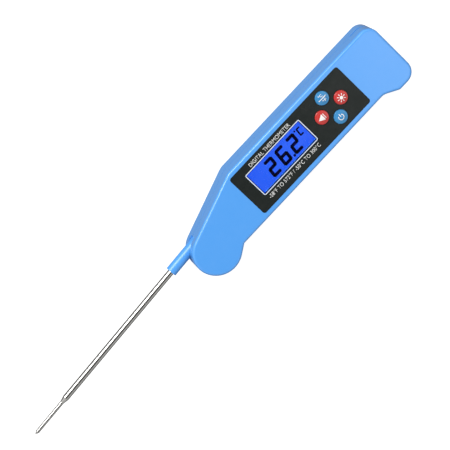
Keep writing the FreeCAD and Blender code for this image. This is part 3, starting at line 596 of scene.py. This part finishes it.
LEAD_RED = plastic(
    "lead_red_sleeve", colour=(0.42, 0.02, 0.015), flow=(0.50, 0.03, 0.02), roughness=0.45,
    grain_scale=3000.0, grain=0.1)

STEEL = metal(
    "drawn_stainless", colour=(0.52, 0.515, 0.495), tint=(0.46, 0.455, 0.435), roughness=0.07,
    line_scale=2600.0, lines=0.01)
SCREW_STEEL = metal(
    "plated_screw_steel", colour=(0.50, 0.50, 0.51), tint=(0.42, 0.42, 0.43), roughness=0.30,
    line_scale=4000.0, lines=0.2)
BRASS = metal(
    "spring_brass", colour=(0.78, 0.58, 0.27), tint=(0.70, 0.50, 0.22), roughness=0.28,
    line_scale=3000.0, lines=0.1)
CELL_STEEL = metal(
    "cell_can_steel", colour=(0.66, 0.66, 0.64), tint=(0.58, 0.58, 0.57), roughness=0.22,
    line_scale=3500.0, lines=0.08)

PRINT_WHITE = ink("print_white", colour=(0.84, 0.84, 0.82), roughness=0.45)
BORDER_WHITE = ink("border_white", colour=(0.74, 0.81, 0.90), roughness=0.40)
MASK_BLUE = ink("mask_dark_blue", colour=(0.004, 0.016, 0.20), roughness=0.35, ior=1.2)
# The segment ink is dark, with a painted navy tint that stands in for the backlight leaking through
# it.
SEGMENT_INK = ink("segment_navy", colour=(0.001, 0.001, 0.032), roughness=0.35, ior=1.05)

FINISHES = {
    "front_shell": CASING_BLUE, "rear_shell": CASING_BLUE, "battery_door": CASING_BLUE,
    "probe_hub": HUB_BLUE, "display_panel": PANEL_BLACK, "window_pane": clear_pane(),
    "display_glass": backlit_glass(), "backlight": DIFFUSER, "contact_strips": BLACK_MOULD,
    "display_frame": GREY_MOULD, "circuit_board": BOARD, "controller_chip": BLACK_MOULD,
    "push_switches": GREY_MOULD, "coin_cell": CELL_STEEL, "contact_plus": BRASS,
    "contact_minus": BRASS, "door_seal": RUBBER, "stem_seal": RUBBER,
    "case_screws": SCREW_STEEL, "board_screws": SCREW_STEEL, "pivot_pin": SCREW_STEEL,
    "friction_washer": SCREW_STEEL, "probe_tube": STEEL, "sensor_bead": BLACK_MOULD,
    "sensor_wires": BRASS, "board_leads": LEAD_RED, "button_unit": BUTTON_BLUE,
    "button_power": BUTTON_BLUE, "button_light": BUTTON_RED, "button_hold": BUTTON_RED,
}


def finish_frame():
    """Gives every CAD node its material."""
    for name, material in FINISHES.items():
        for socket in NODES[name].material_slots:
            socket.material = material


# ---------------------------------------------------------------- display and print

def window_edges():
    """The window's left, lower, right and upper edge."""
    low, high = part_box("window_pane")
    return low.x, low.y, high.x, high.y


def display_digits():
    """The reading, drawn on the display glass in dark segments."""
    left, floor, _, _ = window_edges()
    base = floor + DIGIT_BASE * MM
    made = []
    for key, starts in DIGIT_STARTS.items():
        for number, start in enumerate(starts):
            made.append(figure(f"digit_{key}_{number}", FIGURES[key], left + start * MM, base,
                               DIGIT_WIDTH * MM, DIGIT_HEIGHT * MM, SEGMENT * MM))
    made.append(disc("point", POINT_RADIUS * MM, left + POINT_AT[0] * MM, floor + POINT_AT[1] * MM))
    made.append(figure("unit_letter", FIGURES["C"], left + UNIT_AT[0] * MM,
                       floor + UNIT_AT[1] * MM, UNIT_WIDTH * MM, UNIT_HEIGHT * MM,
                       UNIT_STROKE * MM))
    made.append(disc("degree_sign", DEGREE_RADIUS * MM,
                     left + (UNIT_AT[0] + DEGREE_FROM_UNIT[0]) * MM,
                     floor + (UNIT_AT[1] + DEGREE_FROM_UNIT[1]) * MM, sides=20))
    digits = join("display_digits", made)
    thicken(digits, INK_DEPTH * MM)
    moved(digits, 0, 0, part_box("display_glass")[1].z + INK_LIFT * MM)
    dress(digits, "housing", SEGMENT_INK)


def window_border():
    """White printed border on the pane's rim, and the dark mask along its inner edge."""
    left, floor, right, top = window_edges()
    border = frame_strip("window_border", (left, floor, right, top), BORDER_WIDTH * MM,
                         BORDER_CORNER * MM)
    thicken(border, PRINT_DEPTH * MM)
    moved(border, 0, 0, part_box("window_pane")[1].z + PRINT_LIFT * MM)
    dress(border, "housing", BORDER_WHITE)
    inset = BORDER_WIDTH * MM
    mask = frame_strip("window_mask", (left + inset, floor + inset, right - inset, top - inset),
                       MASK_WIDTH * MM, MASK_CORNER * MM)
    thicken(mask, PRINT_DEPTH * MM)
    moved(mask, 0, 0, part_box("window_pane")[1].z + PRINT_LIFT * MM)
    dress(mask, "housing", MASK_BLUE)


def panel_legends():
    """The instrument's kind above the window and its range below it."""
    left, floor, _, top = window_edges()
    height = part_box("display_panel")[1].z
    rows = (
        ("legend_title", "DIGITAL THERMOMETER", TITLE_AT, top, TITLE_WIDTH),
        ("legend_range", "-58°F TO 572°F / -50°C TO 300°C", RANGE_AT, floor, RANGE_WIDTH),
    )
    for name, text, (along, across), edge, width in rows:
        piece = words(name, text, LEGEND_SIZE * MM, left + along * MM, edge + across * MM,
                      width * MM, LEGEND_WEIGHT)
        thicken(piece, PRINT_DEPTH * MM)
        moved(piece, 0, 0, height)
        dress(piece, "housing", PRINT_WHITE)


# ---------------------------------------------------------------- buttons

def button_centre(name):
    """A button's middle, foot and crown, with room left over the crown for its print."""
    low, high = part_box(name)
    return (low.x + high.x) / 2, (low.y + high.y) / 2, low.z, high.z - CROWN_ROOM * MM


def button_cap(name, material):
    """A glossy cap built up ring by ring: flange, straight wall, round shoulder, rim and dome."""
    x, y, low, high = button_centre(name)
    flange = (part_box(name)[1].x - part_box(name)[0].x) / 2
    wall = flange - FLANGE_LIP * MM
    rings = [(flange, low + FLANGE_THICKNESS * MM), (wall, low + FLANGE_THICKNESS * MM)]
    rings += [(wall - inside * MM, high - below * MM) for inside, below in CAP_RINGS]
    rings.append((CROWN_RADIUS * MM, high))
    bpy.ops.mesh.primitive_circle_add(vertices=64, radius=flange, fill_type="NGON")
    piece = named(name + "_cap")
    moved(piece, 0, 0, low)
    bpy.ops.object.mode_set(mode="EDIT")
    bpy.ops.mesh.select_all(action="SELECT")
    radius, level = flange, low
    for reach, height in rings:
        bpy.ops.mesh.extrude_region_move(TRANSFORM_OT_translate={"value": (0, 0, height - level)})
        grow = reach / radius
        bpy.ops.transform.resize(value=(grow, grow, 1), center_override=(0, 0, 0))
        radius, level = reach, height
    bpy.ops.mesh.merge(type="CENTER")
    bpy.ops.mesh.select_all(action="SELECT")
    bpy.ops.mesh.normals_make_consistent(inside=False)
    bpy.ops.object.mode_set(mode="OBJECT")
    moved(piece, x, y, 0)
    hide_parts(name)
    dress(piece, name, material, smooth=SHOULDER_ANGLE)
    return piece


def wrapped_icon(name, button, cap, shapes):
    """A flat icon drawn round the origin, laid on its button's dome."""
    x, y, _, high = button_centre(button)
    icon = join(name, shapes)
    pick(icon)
    bpy.ops.object.mode_set(mode="EDIT")
    bpy.ops.mesh.select_all(action="SELECT")
    bpy.ops.mesh.quads_convert_to_tris()
    bpy.ops.mesh.subdivide(number_cuts=3)
    bpy.ops.object.mode_set(mode="OBJECT")
    moved(icon, x, y, high + ICON_START * MM)
    finish_with(icon, "SHRINKWRAP", target=cap, wrap_method="PROJECT", use_project_z=True,
                use_negative_direction=True, use_positive_direction=False,
                offset=ICON_LIFT * MM)
    finish_with(icon, "SOLIDIFY", thickness=ICON_DEPTH * MM, offset=1.0)
    dress(icon, button, PRINT_WHITE)


def unit_icon():
    """The two units, one over the other, with a rule between them."""
    size = LETTER_SIZE * MM
    width = LETTER_WIDTH * MM
    return [words("icon_c", "°C", size, CELSIUS_AT[0] * MM, CELSIUS_AT[1] * MM, width,
                  ICON_WEIGHT),
            bar("icon_line", RULE_LENGTH * MM, ICON_STROKE * MM, 0, RULE_SHIFT * MM),
            words("icon_f", "°F", size, FAHRENHEIT_AT[0] * MM, FAHRENHEIT_AT[1] * MM, width,
                  ICON_WEIGHT)]


def light_icon():
    """A lamp: a round bulb with short rays."""
    reach = RAY_REACH * MM
    shapes = [disc("icon_bulb", BULB_RADIUS * MM, 0, 0, sides=24)]
    for step in range(RAY_COUNT):
        turn = math.radians(360 / RAY_COUNT * step)
        shapes.append(bar(f"icon_ray_{step}", RAY_LENGTH * MM, ICON_STROKE * MM,
                          reach * math.cos(turn), reach * math.sin(turn), turn))
    return shapes


def power_icon():
    """A ring that is open at the top, with a bar in the gap."""
    radius = RING_RADIUS * MM
    span = (2 * math.pi - 2 * RING_OPENING) / RING_STEPS
    shapes = []
    for step in range(RING_STEPS):
        turn = math.pi / 2 + RING_OPENING + span * (step + 0.5)
        shapes.append(bar(f"icon_arc_{step}", ICON_STROKE * MM, radius * span * RING_OVERLAP,
                          radius * math.cos(turn), radius * math.sin(turn), turn))
    shapes.append(bar("icon_stroke", ICON_STROKE * MM, STROKE_LENGTH * MM, 0, STROKE_HEIGHT * MM))
    return shapes


def hold_icon():
    """A solid arrow head that points to the window, and a stop bar behind it."""
    bpy.ops.mesh.primitive_circle_add(vertices=3, radius=ARROW_RADIUS * MM, fill_type="NGON")
    arrow = named("icon_arrow")
    arrow.rotation_euler = (0, 0, math.radians(90))
    moved(arrow, ARROW_SHIFT * MM, 0, 0)
    return [arrow, bar("icon_stop", STOP_WIDTH * MM, STOP_LENGTH * MM, STOP_SHIFT * MM, 0)]


def buttons():
    """Each button's cap and icon."""
    kinds = {
        "button_unit": (BUTTON_BLUE, "button_blue", unit_icon),
        "button_power": (BUTTON_BLUE, "button_blue", power_icon),
        "button_light": (BUTTON_RED, "button_red", light_icon),
        "button_hold": (BUTTON_RED, "button_red", hold_icon),
    }
    for name, (material, slot, icon) in kinds.items():
        cap = button_cap(name, material)
        wrapped_icon(name + "_icon", name, cap, icon())


# ---------------------------------------------------------------- stage

# The camera leans by TILT towards the top edge and is turned by TURN about its own line of sight.
# FRAME_WIDTH is how much it sees at the casing's front, and the two aims are how far its middle
# lies from the pivot. Lengths here are metres, and the lens and sensor are millimetres.
TILT = math.radians(17.5)
TURN = math.radians(46.8)
FRAME_WIDTH = 0.23265
LENS = 200.0
SENSOR = 36.0
AIM_RIGHT = 0.00379
AIM_UP = 0.01347

# The lamps, in metres and watts, and the table under the object.
TAIL_LAMP = {"place": (0.24, -0.15, 0.50), "aim": (0.12, 0, 0), "size": 0.22, "power": 0.24}
EDGE_LAMP = {"place": (-0.10, 0.76, 0.55), "aim": (0.05, 0.02, 0.01), "size": 0.46, "power": 6.2}
TABLE_SIZE = 6
TABLE_DROP = 0.0002
TABLE_GREY = 0.42
TABLE_GLOW = 0.80

# Brightness of the surroundings by the height of the direction, from straight down (-1) to
# straight up (1), then its mean and how much brighter the side beyond the top edge is.
SKY_LEVELS = ((-1.0, 0.32), (-0.10, 0.32), (0.12, 0.45), (0.32, 1.15), (0.80, 1.20), (0.93, 0.20),
              (1.0, 0.20))
SKY_MEAN = 0.82
SKY_LEAN = 0.27


def camera():
    """Looks down on the display from the top edge's side, with the casing running up to the right."""
    along = Vector((1, 0, 0))
    across = Vector((0, math.cos(TILT), -math.sin(TILT)))
    back = Vector((0, math.sin(TILT), math.cos(TILT)))
    right = along * math.cos(TURN) - across * math.sin(TURN)
    up = along * math.sin(TURN) + across * math.cos(TURN)
    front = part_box("front_shell")[1].z
    target = Vector((0, 0, front)) + right * AIM_RIGHT + up * AIM_UP
    distance = FRAME_WIDTH * LENS / SENSOR
    data = bpy.data.cameras.new("camera")
    data.lens = LENS
    data.sensor_width = SENSOR
    eye = bpy.data.objects.new("camera", data)
    bpy.context.scene.collection.objects.link(eye)
    basis = Matrix((right, up, back)).transposed().to_4x4()
    eye.matrix_world = Matrix.Translation(target + back * distance) @ basis
    bpy.context.scene.camera = eye


def area_light(name, place, aim, size, power):
    """A round lamp that shines from its place on to its aim."""
    data = bpy.data.lights.new(name, "AREA")
    data.shape = "DISK"
    data.size = size
    data.energy = power
    lamp = bpy.data.objects.new(name, data)
    bpy.context.scene.collection.objects.link(lamp)
    lamp.location = place
    lamp.rotation_euler = (Vector(aim) - Vector(place)).to_track_quat("-Z", "Y").to_euler()


def sky(tree):
    """Soft surroundings: a bright ring of light, dim overhead and dim at the horizon."""
    background = next(n for n in tree.nodes if n.type == "BACKGROUND")
    spot = tree.nodes.new("ShaderNodeTexCoord")
    parts = tree.nodes.new("ShaderNodeSeparateXYZ")
    tree.links.new(spot.outputs["Generated"], parts.inputs["Vector"])
    ramp = tree.nodes.new("ShaderNodeValToRGB")
    climb = math_node(tree, "MULTIPLY", math_node(tree, "ADD", parts.outputs["Z"], 1.0), 0.5)
    tree.links.new(climb, ramp.inputs["Fac"])
    elements = ramp.color_ramp.elements
    while len(elements) < len(SKY_LEVELS):
        elements.new(0.5)
    for element, (height, level) in zip(elements, SKY_LEVELS):
        element.position = (height + 1) / 2
        element.color = (level, level, level, 1)
    lean = math_node(tree, "MULTIPLY", parts.outputs["Y"], SKY_LEAN)
    side = math_node(tree, "ADD", lean, SKY_MEAN)
    shade = tree.nodes.new("ShaderNodeMix")
    shade.data_type = "RGBA"
    shade.blend_type = "MULTIPLY"
    shade.inputs[0].default_value = 1.0
    tree.links.new(ramp.outputs["Color"], shade.inputs[6])
    tree.links.new(side, shade.inputs[7])
    tree.links.new(shade.outputs[2], background.inputs["Color"])
    background.inputs["Strength"].default_value = 1.0


def stage():
    """White table that casts no light on the object, soft sky and two soft lamps."""
    bpy.ops.mesh.primitive_plane_add(size=TABLE_SIZE, location=(0, 0, -TABLE_DROP))
    floor = named("floor")
    material, tree, shader = new_material("floor_white")
    shader.inputs["Base Color"].default_value = (TABLE_GREY, TABLE_GREY, TABLE_GREY, 1)
    shader.inputs["Roughness"].default_value = 0.9
    shader.inputs["Emission Color"].default_value = (1, 1, 1, 1)
    shader.inputs["Emission Strength"].default_value = TABLE_GLOW
    floor.data.materials.append(material)
    floor.visible_diffuse = False
    floor.visible_glossy = False
    world = bpy.data.worlds.new("studio")
    bpy.context.scene.world = world
    world.use_nodes = True
    sky(world.node_tree)
    area_light("tail_lamp", **TAIL_LAMP)
    area_light("edge_lamp", **EDGE_LAMP)
    bpy.context.scene.view_settings.view_transform = "Standard"


camera()
finish_frame()
display_digits()
window_border()
panel_legends()
buttons()
stage()
nothing_selected()
